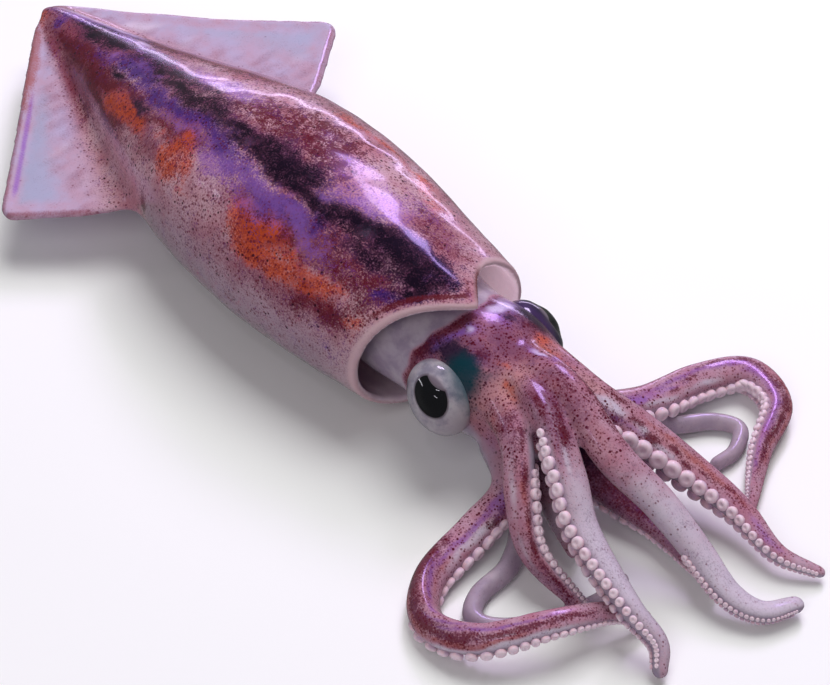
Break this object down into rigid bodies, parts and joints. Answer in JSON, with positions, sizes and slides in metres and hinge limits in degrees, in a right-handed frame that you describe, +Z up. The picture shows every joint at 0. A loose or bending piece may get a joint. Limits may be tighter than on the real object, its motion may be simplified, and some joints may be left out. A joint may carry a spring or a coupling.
{
  "type": "whole raw squid",
  "caption": "Whole raw squid lying on its belly, hollow mantle with side fins, head with bulging eyes, looping arms with suckers and slim tentacles.",
  "frame": {"origin": "on the flat spot of the belly that the squid rests on, in line with the tail tip and the middle of the mantle's mouth", "axes": "+X from the tail towards the arms, +Y to the squid's own left, +Z up"},
  "size_m": [0.3296, 0.1403, 0.0614],
  "materials": {
    "mantle_skin": "wet gloss, dark violet back fading to mauve and pale pink with fine dots",
    "head_skin": "wet gloss, salmon pink with dark dots, pale lilac under the arms",
    "eye": "wet, pale grey around a glossy black pupil"
  },
  "bodies": {
    "root": {"mantle": "mantle_skin", "head": "head_skin", "eye_right": "eye", "eye_left": "eye"}
  },
  "joints": []
}
